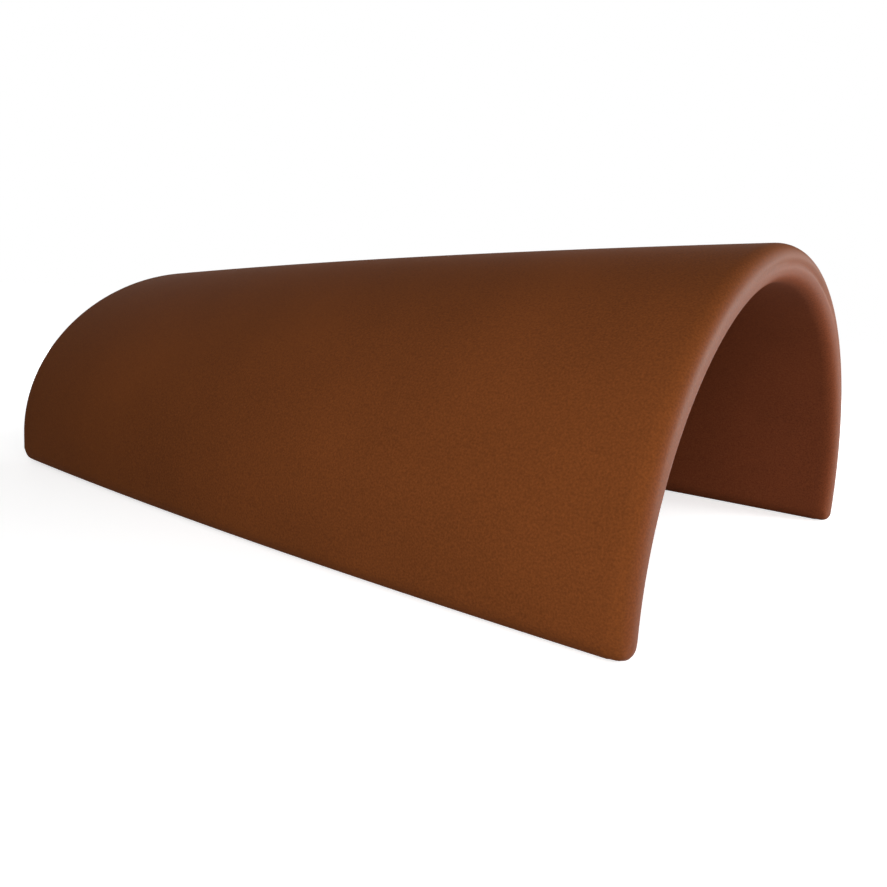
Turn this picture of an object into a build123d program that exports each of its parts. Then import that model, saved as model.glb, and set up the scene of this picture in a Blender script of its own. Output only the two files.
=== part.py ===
"""Tapered half-round clay roof tile, one piece of fired clay.

The tile lies as it would on a level floor, crown up, on the long edges of its two legs.
X runs along the tile towards the wide end, Y across it and Z up. The origin is on the
floor, under the middle of the tile. Sizes are in millimetres.
"""

import os

from build123d import *

# Overall length, from one rounded rim to the other
length = 340.0

# The arch at the wide end: outer width, height and the straight part of each leg
wide_width = 246.0
wide_height = 124.0
wide_leg = 10.0

# The arch at the narrow end
narrow_width = 215.0
narrow_height = 99.0
narrow_leg = 14.0

# How far the sides and the crown stand proud of a straight taper, half way along
side_swell = 5.5
crown_swell = 2.0

# Thickness of the clay
wall = 14.0

# Rounding of both rims, of the feet and of the four lower corners, just under half the wall
rim_radius = 6.5

# The legs are drawn this much too long and then cut off at the floor
spare_leg = 20.0


def arch(plane, width, height, leg):
    """One section of the clay: half an ellipse outside and inside, on straight upright legs."""
    outer = width / 2
    inner = outer - wall
    with BuildSketch(plane) as section:
        with BuildLine():
            EllipticalCenterArc((0, leg), outer, height - leg, arc_size=180)
            Line((-outer, leg), (-outer, -spare_leg))
            Line((-outer, -spare_leg), (-inner, -spare_leg))
            Line((-inner, -spare_leg), (-inner, leg))
            EllipticalCenterArc((0, leg), inner, height - leg - wall, arc_size=180)
            Line((inner, leg), (inner, -spare_leg))
            Line((inner, -spare_leg), (outer, -spare_leg))
            Line((outer, -spare_leg), (outer, leg))
        make_face()
    return section.sketch


# Half way along, the arch is the mean of the two ends plus the swell
mid_width = (wide_width + narrow_width) / 2 + 2 * side_swell
mid_height = (wide_height + narrow_height) / 2 + crown_swell
mid_leg = (wide_leg + narrow_leg) / 2

with BuildPart() as tile_body:
    add(arch(Plane.YZ.offset(-length / 2), narrow_width, narrow_height, narrow_leg))
    add(arch(Plane.YZ, mid_width, mid_height, mid_leg))
    add(arch(Plane.YZ.offset(length / 2), wide_width, wide_height, wide_leg))
    loft()

    # Both feet end in one level plane
    split(bisect_by=Plane.XY, keep=Keep.TOP)

    # The ends and the feet are the only flat faces, and every edge round them is rolled over
    rim_faces = tile_body.faces().filter_by(GeomType.PLANE)
    fillet(rim_faces.edges(), rim_radius)

tile_body.part.label = "tile_body"

os.makedirs("parts", exist_ok=True)
export_step(tile_body.part, "parts/tile_body.step")
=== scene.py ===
"""Tapered half-round clay roof tile: the fired clay body, its finish and a plain studio."""

import math

import bpy
from bpy.props import FloatProperty, FloatVectorProperty, IntProperty, PointerProperty
from mathutils import Matrix, Vector


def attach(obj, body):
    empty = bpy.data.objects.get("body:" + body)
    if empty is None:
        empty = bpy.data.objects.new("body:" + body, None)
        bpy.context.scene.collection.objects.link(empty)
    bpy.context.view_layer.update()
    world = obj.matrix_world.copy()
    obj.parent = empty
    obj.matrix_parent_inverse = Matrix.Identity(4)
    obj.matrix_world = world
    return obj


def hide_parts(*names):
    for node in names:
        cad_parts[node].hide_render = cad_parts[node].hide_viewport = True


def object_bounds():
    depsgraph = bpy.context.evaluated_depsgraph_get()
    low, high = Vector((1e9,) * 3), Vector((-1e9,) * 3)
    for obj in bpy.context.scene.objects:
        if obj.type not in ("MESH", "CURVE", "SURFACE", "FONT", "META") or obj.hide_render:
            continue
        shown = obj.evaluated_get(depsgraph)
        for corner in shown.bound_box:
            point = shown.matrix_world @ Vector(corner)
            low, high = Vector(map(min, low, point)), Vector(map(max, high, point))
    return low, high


bl_info = {
    "name": "Clay Roof Tile",
    "version": (1, 0, 0),
    "blender": (4, 5, 0),
    "location": "View3D > Sidebar > Roof Tile",
    "description": "Models a tapered half-round clay roof tile and lights it in a plain studio",
    "category": "Object",
}

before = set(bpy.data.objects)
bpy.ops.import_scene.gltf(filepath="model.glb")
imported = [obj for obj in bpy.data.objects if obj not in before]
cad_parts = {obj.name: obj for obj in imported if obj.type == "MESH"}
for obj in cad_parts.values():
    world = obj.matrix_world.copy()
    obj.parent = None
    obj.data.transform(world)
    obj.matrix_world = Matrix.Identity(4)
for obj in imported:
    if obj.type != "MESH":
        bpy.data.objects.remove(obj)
CAD_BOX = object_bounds()
TILE_LENGTH = CAD_BOX[1].x - CAD_BOX[0].x

# The lamps face a point inside the arch, nearer its wide end
LAMP_TARGET = Vector((0.05, 0, 0.06))

# Two places count as the same where they differ by less than this share of the wall
SAME_PLACE = 0.001

# The strip of faces that each rounded edge is cut from, as a share of its radius
RIM_MARGIN = 1.2

# Edges where the surface turns by more than this are rounded
SHARP_EDGE = math.radians(60)

# A lower corner is pushed out along its diagonal. How far a point may lie off that line, and how
# far the push spreads round the corner, as a share of the rounding's radius
DIAGONAL_SLACK = 0.05
DIAGONAL_SPREAD = 0.68

# The crease is pressed in this many passes, each one longer than the last
CREASE_PASSES = 6

# A point is on the rim's middle line where its weight is above this, because the rounding gives
# the points beside the line a part of its weight
FULL_WEIGHT = 0.99

# Nearly all of a noise pattern lies between these two values
NOISE_LOW = 0.3
NOISE_HIGH = 0.7

# A Mix node has several sockets of each name. These are the ones that mix two colours
MIX_FACTOR = 0
MIX_FIRST = 6
MIX_SECOND = 7
MIX_RESULT = 2

# Width of the camera's sensor, in millimetres, and the nearest place that it shows, in metres
SENSOR_WIDTH = 36
NEAREST_SHOWN = 0.01


def distance(name, description, default):
    """A length property, in metres."""
    return FloatProperty(
        name=name, description=description, default=default, min=0.0, subtype="DISTANCE", unit="LENGTH"
    )


def share(name, description, default):
    """A property from 0 to 1."""
    return FloatProperty(
        name=name, description=description, default=default, min=0.0, max=1.0, subtype="FACTOR"
    )


def colour(name, description, default):
    """A colour property."""
    return FloatVectorProperty(
        name=name, description=description, default=(*default, 1.0), size=4, min=0.0, max=1.0,
        subtype="COLOR",
    )


def angle(name, description, default):
    """An angle property, in radians."""
    return FloatProperty(
        name=name, description=description, default=default, subtype="ANGLE", unit="ROTATION"
    )


class TileSizes(bpy.types.PropertyGroup):
    """Sizes of the clay body."""

    length: distance("Length", "From one rounded rim to the other", TILE_LENGTH)
    wide_width: distance("Wide width", "Outer width of the arch at the wide end", 0.246)
    wide_height: distance("Wide height", "Height of the crown at the wide end", 0.124)
    wide_leg: distance("Wide leg", "Straight part of each leg at the wide end", 0.010)
    narrow_width: distance("Narrow width", "Outer width of the arch at the narrow end", 0.215)
    narrow_height: distance("Narrow height", "Height of the crown at the narrow end", 0.099)
    narrow_leg: distance("Narrow leg", "Straight part of each leg at the narrow end", 0.014)
    side_swell: distance("Side swell", "How far each side bulges, half way along", 0.0055)
    crown_swell: distance("Crown swell", "How far the crown bulges, half way along", 0.002)
    wall: distance("Wall", "Thickness of the clay", 0.014)
    rim_radius: distance("Rim radius", "Rounding of the rims, the feet and the lower corners", 0.0065)
    corner_squaring: FloatProperty(
        name="Corner squaring", description="How far the wide end's lower corners are pushed out",
        default=1.16, min=1.0,
    )
    crease_depth: distance("Crease depth", "Depth of the mould line over the wide rim's crown", 0.0009)
    crease_half_width: distance("Crease half width", "From the line's middle to its soft edge", 0.0021)
    crease_middle: distance("Crease middle", "How far beyond the crown the line is deepest", 0.014)
    crease_reach: distance("Crease reach", "How far from there the line keeps its full depth", 0.02)
    crease_fade: distance("Crease fade", "Over how long a stretch it then fades out", 0.035)
    arch_steps: IntProperty(name="Arch steps", description="Faces round each arch", default=96, min=24)
    length_steps: IntProperty(name="Length steps", description="Faces along the tile", default=40, min=8)
    rim_steps: IntProperty(name="Rim steps", description="Faces round each rim", default=12, min=3)


class ClayFinish(bpy.types.PropertyGroup):
    """Colours and grain of the fired clay."""

    light_outside: colour("Light outside", "Outer skin at the paler grains", (0.172, 0.047, 0.0097))
    dark_outside: colour("Dark outside", "Outer skin at the darker grains", (0.099, 0.027, 0.0055))
    # The inner skin's two colours are painted light: they are redder than the outer skin's and stand in
    # for the reddish light that bounces between the walls inside the arch.
    light_inside_painted_bounce: colour("Light inside", "Inner skin at the paler grains", (0.193, 0.0482, 0.0165))
    dark_inside_painted_bounce: colour("Dark inside", "Inner skin at the darker grains", (0.111, 0.0278, 0.0095))
    cloud_size: distance("Cloud size", "Size of the soft clouds of tone", 0.06)
    grain_size: distance("Grain size", "Size of the fine sand grains in the skin", 0.0007)
    grain_depth: distance("Grain depth", "Height of the fine sand grains", 0.00005)
    swell_size: distance("Hand swell size", "Size of the soft unevenness left by smoothing", 0.03)
    swell_depth: distance("Hand swell depth", "Height of the soft unevenness", 0.00005)
    grain_share: share("Grain share", "How much of the tone follows the grains", 0.7)
    wall_roughness: share("Wall roughness", "Roughness of the two skins of the wall", 0.9)
    rim_roughness: share("Rim roughness", "Roughness of the two end faces, which were wiped smooth", 0.45)
    grain_roughness: share("Grain roughness", "How much rougher the grains are than the clay between", 0.1)
    sheen_level: share("Specular level", "Strength of the satin skin's reflection", 0.1)


class StudioSettings(bpy.types.PropertyGroup):
    """Camera, floor and lamps."""

    camera_place: FloatVectorProperty(
        name="Camera place", description="Where the camera stands", subtype="TRANSLATION",
        unit="LENGTH", default=(0.25677, -0.33428, 0.09802),
    )
    camera_heading: angle("Camera heading", "Direction of view, from +X towards +Y", 2.1925)
    camera_dip: angle("Camera dip", "How far the view points down", 0.1718)
    camera_roll: angle("Camera roll", "How far the camera is turned about its view", 0.068)
    lens: FloatProperty(
        name="Lens", description="Focal length on a 36 mm wide sensor",
        subtype="DISTANCE_CAMERA", default=35.28, min=10.0,
    )
    floor_size: distance("Floor size", "Side of the square floor", 8.0)
    floor_bounce: share("Floor bounce", "Share of the light that the floor gives back to the tile", 0.5)
    floor_tone: share("Floor tone", "How pale the floor is shown where the lamps light it", 0.8)
    floor_white: share("Floor whiteness", "Whiteness that is shown on top of the lamps' light", 0.65)
    white_reach: distance("White reach", "Distance at which the floor is shown all white", 0.5)
    world_light: share("World light", "Strength of the light from all round", 0.03)
    lamp_strength: FloatProperty(
        name="Lamp strength", description="Brightness of all lamps together", default=1.0, min=0.0,
    )


class Station:
    """One cross-section of a skin: half an ellipse on two straight legs, at a share of the length."""

    def __init__(self, sizes, along, inset):
        # The swell is nought at both ends and one half way along
        swell = 4 * along * (1 - along)
        width = sizes.narrow_width + along * (sizes.wide_width - sizes.narrow_width)
        height = sizes.narrow_height + along * (sizes.wide_height - sizes.narrow_height)
        self.x = (along - 0.5) * sizes.length
        self.leg = sizes.narrow_leg + along * (sizes.wide_leg - sizes.narrow_leg)
        self.half_width = width / 2 + swell * sizes.side_swell - inset
        self.rise = height + swell * sizes.crown_swell - inset - self.leg


def select_verts(piece, wanted, among=None):
    """Selects the vertices whose place passes the test, and no others, and ends in edit mode."""
    bpy.ops.object.mode_set(mode="EDIT")
    bpy.ops.mesh.select_mode(type="VERT")
    bpy.ops.mesh.select_all(action="DESELECT")
    bpy.ops.object.mode_set(mode="OBJECT")
    for vertex in piece.data.vertices:
        vertex.select = wanted(vertex.co) and (among is None or among[vertex.index])
    bpy.ops.object.mode_set(mode="EDIT")


def draw_first_arch(sizes, first, name):
    """A circle at the narrow end, squeezed to the arch's ellipse, with its lower half removed."""
    bpy.ops.object.select_all(action="DESELECT")
    steps_all_round = 2 * sizes.arch_steps
    bpy.ops.mesh.primitive_circle_add(
        vertices=steps_all_round, radius=1, rotation=(0, math.pi / 2, 0)
    )
    piece = bpy.context.object
    piece.name = name
    piece.data.name = name
    bpy.ops.object.transform_apply(location=True, rotation=True, scale=True)
    bpy.ops.object.mode_set(mode="EDIT")
    bpy.ops.mesh.select_all(action="SELECT")
    bpy.ops.transform.resize(value=(1, first.half_width, first.rise))
    bpy.ops.transform.translate(value=(first.x, 0, first.leg))
    small = SAME_PLACE * sizes.wall
    select_verts(piece, lambda place: place.z < first.leg - small)
    bpy.ops.mesh.delete(type="VERT")
    return piece


def draw_skin(sizes, inset, name):
    """One skin of the tile, outer or inner, drawn from arch to arch along the length."""
    margin = RIM_MARGIN * sizes.rim_radius
    small = SAME_PLACE * sizes.wall
    edge = margin / sizes.length
    steps = sizes.length_steps
    between = [edge + (1 - 2 * edge) * step / steps for step in range(steps + 1)]
    stations = [Station(sizes, along, inset) for along in (0, *between, 1)]

    # The first arch stands on two short legs, with a line of points one margin above the floor
    first = stations[0]
    piece = draw_first_arch(sizes, first, name)
    select_verts(piece, lambda place: abs(place.z - first.leg) < small)
    for drop in (first.leg - margin, margin):
        bpy.ops.mesh.extrude_region_move(TRANSFORM_OT_translate={"value": (0, 0, -drop)})

    # Each further arch is extruded from the last one, then widened and raised to its own size
    bpy.ops.mesh.select_all(action="SELECT")
    for last, station in zip(stations, stations[1:]):
        bpy.ops.mesh.extrude_region_move(TRANSFORM_OT_translate={"value": (station.x - last.x, 0, 0)})
        centre = (station.x, 0, last.leg)
        widen = station.half_width / last.half_width
        bpy.ops.transform.resize(value=(1, widen, 1), center_override=centre)
        new_end = station.x - small
        on_arch = last.leg - small
        select_verts(piece, lambda place: place.x > new_end and place.z > on_arch)
        raise_by = station.rise / last.rise
        bpy.ops.transform.resize(value=(1, 1, raise_by), center_override=centre)
        bpy.ops.transform.translate(value=(0, 0, station.leg - last.leg))
        select_verts(piece, lambda place: place.x > new_end)
    bpy.ops.object.mode_set(mode="OBJECT")
    return piece


def join_skins(outer, inner):
    """The two skins joined into one wall by a rim, with a line of points along the rim's middle."""
    inside = inner.vertex_groups.new(name="inner_skin")
    inside.add(range(len(inner.data.vertices)), 1.0, "REPLACE")
    bpy.ops.object.select_all(action="DESELECT")
    inner.select_set(True)
    outer.select_set(True)
    bpy.context.view_layer.objects.active = outer
    bpy.ops.object.join()
    skin_points = len(outer.data.vertices)
    bpy.ops.object.mode_set(mode="EDIT")
    bpy.ops.mesh.select_mode(type="EDGE")
    bpy.ops.mesh.select_all(action="DESELECT")
    bpy.ops.mesh.select_non_manifold(extend=False)
    bpy.ops.mesh.bridge_edge_loops(number_cuts=1, interpolation="LINEAR")
    bpy.ops.mesh.select_all(action="SELECT")
    bpy.ops.mesh.normals_make_consistent(inside=False)
    bpy.ops.object.mode_set(mode="OBJECT")
    middle = outer.vertex_groups.new(name="rim_middle")
    middle.add(range(skin_points, len(outer.data.vertices)), 1.0, "REPLACE")


def roll_rims(sizes):
    """Rolls over the sharp edges of the rims, the feet and the lower corners."""
    bpy.ops.object.mode_set(mode="EDIT")
    bpy.ops.mesh.select_all(action="DESELECT")
    bpy.ops.mesh.edges_select_sharp(sharpness=SHARP_EDGE)
    bpy.ops.mesh.bevel(
        offset=sizes.rim_radius, offset_type="OFFSET", segments=sizes.rim_steps,
        profile=0.5, affect="EDGES", clamp_overlap=False,
    )
    bpy.ops.mesh.select_all(action="SELECT")
    bpy.ops.mesh.normals_make_consistent(inside=False)
    bpy.ops.object.mode_set(mode="OBJECT")


def square_corners(piece, sizes):
    """Makes the wide end's two lower corners less round than the rolled edges leave them."""
    radius = sizes.rim_radius
    start = sizes.length / 2 - radius

    def on_diagonal(place):
        along, down = place.x - start, radius - place.z
        return along > 0 and abs(along - down) < DIAGONAL_SLACK * (along + down)

    select_verts(piece, on_diagonal)
    bpy.ops.transform.resize(
        value=(sizes.corner_squaring, 1, sizes.corner_squaring), center_override=(start, 0, radius),
        use_proportional_edit=True, proportional_edit_falloff="SMOOTH",
        proportional_size=DIAGONAL_SPREAD * radius,
    )
    bpy.ops.object.mode_set(mode="OBJECT")


def press_crease(piece, sizes):
    """The soft mould line over the crown of the wide rim, which fades out on both sides."""
    middle = piece.vertex_groups["rim_middle"].index
    on_line = [
        any(group.group == middle and group.weight > FULL_WEIGHT for group in vertex.groups)
        and vertex.co.x > 0
        for vertex in piece.data.vertices
    ]
    for step in range(1, CREASE_PASSES + 1):
        reach = sizes.crease_reach + sizes.crease_fade * step / CREASE_PASSES
        select_verts(piece, lambda place: abs(place.y - sizes.crease_middle) < reach, on_line)
        bpy.ops.transform.translate(
            value=(-sizes.crease_depth / CREASE_PASSES, 0, 0), use_proportional_edit=True,
            proportional_edit_falloff="SMOOTH", proportional_size=sizes.crease_half_width,
        )
    bpy.ops.object.mode_set(mode="OBJECT")


def mark_inside(piece):
    """Marks every point for the inner skin's painted bounce light: one on the inner skin, nought on the
    outer skin.
    """
    inner_skin = piece.vertex_groups["inner_skin"].index
    marks = piece.data.attributes.new("inside", "FLOAT", "POINT")
    for vertex in piece.data.vertices:
        shares = [group.weight for group in vertex.groups if group.group == inner_skin]
        marks.data[vertex.index].value = sum(shares)


def form_body(sizes):
    """The clay body: a wall between two skins, with rolled rims and a crease on the wide one."""
    body = draw_skin(sizes, 0.0, "fired_clay_body")
    join_skins(body, draw_skin(sizes, sizes.wall, "inner_skin"))
    roll_rims(sizes)
    square_corners(body, sizes)
    press_crease(body, sizes)
    mark_inside(body)
    bpy.ops.object.shade_smooth()
    return body


def add_node(tree, kind, **settings):
    """A node with the given settings."""
    node = tree.nodes.new(kind)
    for name, value in settings.items():
        setattr(node, name, value)
    return node


def noise(tree, place, size, detail):
    """A soft noise pattern whose features are about as large as the given size, in metres."""
    node = add_node(tree, "ShaderNodeTexNoise")
    node.inputs["Scale"].default_value = 1 / size
    node.inputs["Detail"].default_value = detail
    tree.links.new(place, node.inputs["Vector"])
    return node.outputs["Fac"]


def bump(tree, height, depth, normal=None):
    """A relief of the given depth, in metres, on top of an earlier one."""
    node = add_node(tree, "ShaderNodeBump")
    node.inputs["Distance"].default_value = depth
    tree.links.new(height, node.inputs["Height"])
    if normal is not None:
        tree.links.new(normal, node.inputs["Normal"])
    return node.outputs["Normal"]


def blend_clay(tree, tone, dark, light):
    """A clay colour that runs from dark to light with the tone of the grains and clouds."""
    ramp = add_node(tree, "ShaderNodeValToRGB")
    ramp.color_ramp.elements[0].position = NOISE_LOW
    ramp.color_ramp.elements[0].color = dark
    ramp.color_ramp.elements[1].position = NOISE_HIGH
    ramp.color_ramp.elements[1].color = light
    tree.links.new(tone, ramp.inputs["Fac"])
    return ramp.outputs["Color"]


def skin_colour(tree, finish, grains, clouds):
    """The clay's brown, which follows the grains and clouds of tone, made redder on the inner skin as
    painted bounce light from the walls inside the arch.
    """
    tone = add_node(tree, "ShaderNodeMix")
    tone.inputs["Factor"].default_value = finish.grain_share
    tree.links.new(clouds, tone.inputs["A"])
    tree.links.new(grains, tone.inputs["B"])
    outer = blend_clay(tree, tone.outputs["Result"], finish.dark_outside, finish.light_outside)
    inner = blend_clay(tree, tone.outputs["Result"], finish.dark_inside_painted_bounce, finish.light_inside_painted_bounce)
    # Where the mark says inner skin, the redder colours are laid on as painted bounce light.
    inside = add_node(tree, "ShaderNodeAttribute", attribute_name="inside")
    skin = add_node(tree, "ShaderNodeMix", data_type="RGBA")
    tree.links.new(inside.outputs["Fac"], skin.inputs[MIX_FACTOR])
    tree.links.new(outer, skin.inputs[MIX_FIRST])
    tree.links.new(inner, skin.inputs[MIX_SECOND])
    return skin.outputs[MIX_RESULT]


def end_faces(tree, place, rim_radius):
    """One on the end faces of the tile, fading to nought over their rolled edges."""
    axes = add_node(tree, "ShaderNodeSeparateXYZ")
    tree.links.new(place, axes.inputs["Vector"])
    along = add_node(tree, "ShaderNodeMath", operation="ABSOLUTE")
    tree.links.new(axes.outputs["X"], along.inputs[0])
    near_end = add_node(tree, "ShaderNodeMapRange", interpolation_type="SMOOTHSTEP")
    near_end.inputs["From Min"].default_value = TILE_LENGTH / 2 - rim_radius / 2
    near_end.inputs["From Max"].default_value = TILE_LENGTH / 2
    tree.links.new(along.outputs["Value"], near_end.inputs["Value"])
    return near_end.outputs["Result"]


def skin_roughness(tree, finish, grains, ends):
    """Rough on the wall, smoother on the two wiped end faces, and rougher at the grains."""
    wiped = add_node(tree, "ShaderNodeMapRange")
    wiped.inputs["To Min"].default_value = finish.wall_roughness
    wiped.inputs["To Max"].default_value = finish.rim_roughness
    tree.links.new(ends, wiped.inputs["Value"])
    grainy = add_node(tree, "ShaderNodeMath", operation="MULTIPLY_ADD", use_clamp=True)
    grainy.inputs[1].default_value = finish.grain_roughness
    tree.links.new(grains, grainy.inputs[0])
    tree.links.new(wiped.outputs["Result"], grainy.inputs[2])
    return grainy.outputs["Value"]


def mix_clay(finish, rim_radius):
    """Satin fired clay: an even brown skin with fine sand grains and very soft clouds of tone."""
    material = bpy.data.materials.new("fired_clay")
    material.use_nodes = True
    tree = material.node_tree
    shader = tree.nodes["Principled BSDF"]
    place = add_node(tree, "ShaderNodeTexCoord").outputs["Object"]
    grains = noise(tree, place, finish.grain_size, detail=3)
    clouds = noise(tree, place, finish.cloud_size, detail=2)
    swells = noise(tree, place, finish.swell_size, detail=1)
    tree.links.new(skin_colour(tree, finish, grains, clouds), shader.inputs["Base Color"])
    ends = end_faces(tree, place, rim_radius)
    tree.links.new(skin_roughness(tree, finish, grains, ends), shader.inputs["Roughness"])
    relief = bump(tree, swells, finish.swell_depth)
    relief = bump(tree, grains, finish.grain_depth, relief)
    tree.links.new(relief, shader.inputs["Normal"])
    shader.inputs["Specular IOR Level"].default_value = finish.sheen_level
    return material


class CLAYTILE_OT_form_body(bpy.types.Operator):
    """Models the clay body of the tile and gives it its finish"""

    bl_idname = "clay_tile.form_body"
    bl_label = "Form Clay Body"

    def execute(self, context):
        sizes = context.scene.tile_sizes
        body = form_body(sizes)
        body.data.materials.append(mix_clay(context.scene.clay_finish, sizes.rim_radius))
        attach(body, "root")
        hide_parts("tile_body")
        return {"FINISHED"}


def aim_camera(studio):
    """The camera stands and looks as the photographer's did."""
    heading, dip, roll = studio.camera_heading, studio.camera_dip, studio.camera_roll
    ahead = Vector((math.cos(heading) * math.cos(dip), math.sin(heading) * math.cos(dip), -math.sin(dip)))
    level = ahead.cross(Vector((0, 0, 1))).normalized()
    upright = level.cross(ahead)
    right = math.cos(roll) * level + math.sin(roll) * upright
    up = math.cos(roll) * upright - math.sin(roll) * level
    camera = bpy.data.objects.new("camera", bpy.data.cameras.new("camera"))
    bpy.context.scene.collection.objects.link(camera)
    turn = Matrix((right, up, -ahead)).transposed().to_4x4()
    camera.matrix_world = Matrix.Translation(studio.camera_place) @ turn
    camera.data.sensor_width = SENSOR_WIDTH
    camera.data.lens = studio.lens
    camera.data.clip_start = NEAREST_SHOWN
    bpy.context.scene.camera = camera


def hang_lamp(name, bearing, height, reach, diameter, power):
    """A round soft lamp that faces the tile: its bearing is 0 in front and 90 at the wide end."""
    lamp = bpy.data.lights.new(name, "AREA")
    lamp.shape = "DISK"
    lamp.size = diameter
    lamp.energy = power
    turn, lift = math.radians(bearing), math.radians(height)
    away = Vector((math.sin(turn) * math.cos(lift), -math.cos(turn) * math.cos(lift), math.sin(lift)))
    piece = bpy.data.objects.new(name, lamp)
    bpy.context.scene.collection.objects.link(piece)
    piece.location = LAMP_TARGET + reach * away
    piece.rotation_euler = away.to_track_quat("Z", "Y").to_euler()
    piece.visible_camera = False


def hang_lamps(strength):
    """Five lamps as in the photo's light, and two that fill in the sides it doesn't show."""
    hang_lamp("rim_lamp", bearing=120, height=8, reach=0.55, diameter=0.3, power=2.43 * strength)
    hang_lamp("front_lamp", bearing=30, height=8, reach=0.55, diameter=0.3, power=1.45 * strength)
    hang_lamp("high_lamp", bearing=0, height=38, reach=0.55, diameter=0.3, power=0.39 * strength)
    hang_lamp("side_lamp", bearing=60, height=25, reach=0.8, diameter=0.5, power=1.76 * strength)
    hang_lamp("far_lamp", bearing=155, height=25, reach=0.8, diameter=0.5, power=0.7 * strength)
    hang_lamp("back_lamp", bearing=200, height=15, reach=0.8, diameter=0.5, power=1.6 * strength)
    hang_lamp("narrow_end_lamp", bearing=262, height=10, reach=0.8, diameter=0.5, power=1.3 * strength)


def show_white(tree):
    """One on rays from the camera, from a mirror or through glass, and nought on rays of light."""
    rays = add_node(tree, "ShaderNodeLightPath")
    total = rays.outputs["Is Camera Ray"]
    for kind in ("Is Glossy Ray", "Is Transmission Ray"):
        either = add_node(tree, "ShaderNodeMath", operation="MAXIMUM")
        tree.links.new(total, either.inputs[0])
        tree.links.new(rays.outputs[kind], either.inputs[1])
        total = either.outputs["Value"]
    return total


def matt_paint(tree, studio, seen):
    """A pale matt surface that takes the shadow, paler where it is seen than where it lights."""
    matt = add_node(tree, "ShaderNodeBsdfDiffuse")
    tone = add_node(tree, "ShaderNodeMapRange")
    tone.inputs["To Min"].default_value = studio.floor_bounce
    tone.inputs["To Max"].default_value = studio.floor_tone
    tree.links.new(seen, tone.inputs["Value"])
    tree.links.new(tone.outputs["Result"], matt.inputs["Color"])
    return matt.outputs["BSDF"]


def added_white(tree, studio, seen):
    """White that is only seen and gives no light, and that grows away from the tile."""
    place = add_node(tree, "ShaderNodeTexCoord").outputs["Object"]
    away = add_node(tree, "ShaderNodeVectorMath", operation="LENGTH")
    tree.links.new(place, away.inputs[0])
    grow = add_node(tree, "ShaderNodeMapRange", interpolation_type="SMOOTHSTEP")
    grow.inputs["From Min"].default_value = TILE_LENGTH / 2
    grow.inputs["From Max"].default_value = studio.white_reach
    grow.inputs["To Min"].default_value = studio.floor_white
    tree.links.new(away.outputs["Value"], grow.inputs["Value"])
    strength = add_node(tree, "ShaderNodeMath", operation="MULTIPLY")
    tree.links.new(grow.outputs["Result"], strength.inputs[0])
    tree.links.new(seen, strength.inputs[1])
    white = add_node(tree, "ShaderNodeEmission")
    tree.links.new(strength.outputs["Value"], white.inputs["Strength"])
    return white.outputs["Emission"]


def mix_floor_paint(studio):
    """The floor's paint: a matt surface with white added where it is seen."""
    material = bpy.data.materials.new("pale_floor")
    material.use_nodes = True
    tree = material.node_tree
    tree.nodes.clear()
    seen = show_white(tree)
    both = add_node(tree, "ShaderNodeAddShader")
    tree.links.new(matt_paint(tree, studio, seen), both.inputs[0])
    tree.links.new(added_white(tree, studio, seen), both.inputs[1])
    end = add_node(tree, "ShaderNodeOutputMaterial")
    tree.links.new(both.outputs["Shader"], end.inputs["Surface"])
    return material


def lay_floor(studio):
    """A pale floor that takes the tile's shadow."""
    bpy.ops.object.select_all(action="DESELECT")
    bpy.ops.mesh.primitive_plane_add(size=studio.floor_size)
    floor = bpy.context.object
    floor.name = "floor"
    floor.data.materials.append(mix_floor_paint(studio))


def surround(studio):
    """A white surround, which itself gives little light."""
    world = bpy.data.worlds.new("studio")
    world.use_nodes = True
    bpy.context.scene.world = world
    tree = world.node_tree
    strength = add_node(tree, "ShaderNodeMapRange")
    strength.inputs["To Min"].default_value = studio.world_light
    tree.links.new(show_white(tree), strength.inputs["Value"])
    background = tree.nodes["Background"]
    background.inputs["Color"].default_value = (1, 1, 1, 1)
    tree.links.new(strength.outputs["Result"], background.inputs["Strength"])


class CLAYTILE_OT_set_stage(bpy.types.Operator):
    """Lays the floor, hangs the lamps and aims the camera"""

    bl_idname = "clay_tile.set_stage"
    bl_label = "Set Stage"

    def execute(self, context):
        studio = context.scene.tile_studio
        aim_camera(studio)
        lay_floor(studio)
        surround(studio)
        hang_lamps(studio.lamp_strength)
        context.scene.view_settings.view_transform = "Standard"
        return {"FINISHED"}


class CLAYTILE_PT_sidebar(bpy.types.Panel):
    """Lists the tile's sizes, finish and studio in the 3D view's sidebar"""

    bl_label = "Roof Tile"
    bl_idname = "CLAYTILE_PT_sidebar"
    bl_space_type = "VIEW_3D"
    bl_region_type = "UI"
    bl_category = "Roof Tile"

    def draw(self, context):
        for group in (context.scene.tile_sizes, context.scene.clay_finish, context.scene.tile_studio):
            box = self.layout.box()
            for name in group.__annotations__:
                box.prop(group, name)
        self.layout.operator(CLAYTILE_OT_form_body.bl_idname)
        self.layout.operator(CLAYTILE_OT_set_stage.bl_idname)


GROUPS = {"tile_sizes": TileSizes, "clay_finish": ClayFinish, "tile_studio": StudioSettings}
CLASSES = (*GROUPS.values(), CLAYTILE_OT_form_body, CLAYTILE_OT_set_stage, CLAYTILE_PT_sidebar)


def register():
    """Registers the classes and hangs the settings on the scene."""
    for cls in CLASSES:
        bpy.utils.register_class(cls)
    for name, group in GROUPS.items():
        setattr(bpy.types.Scene, name, PointerProperty(type=group))


def unregister():
    """Undoes what register did."""
    for name in GROUPS:
        delattr(bpy.types.Scene, name)
    for cls in reversed(CLASSES):
        bpy.utils.unregister_class(cls)


def main():
    """Builds the tile and its stage."""
    register()
    bpy.ops.clay_tile.form_body()
    bpy.ops.clay_tile.set_stage()


if __name__ == "__main__":
    main()
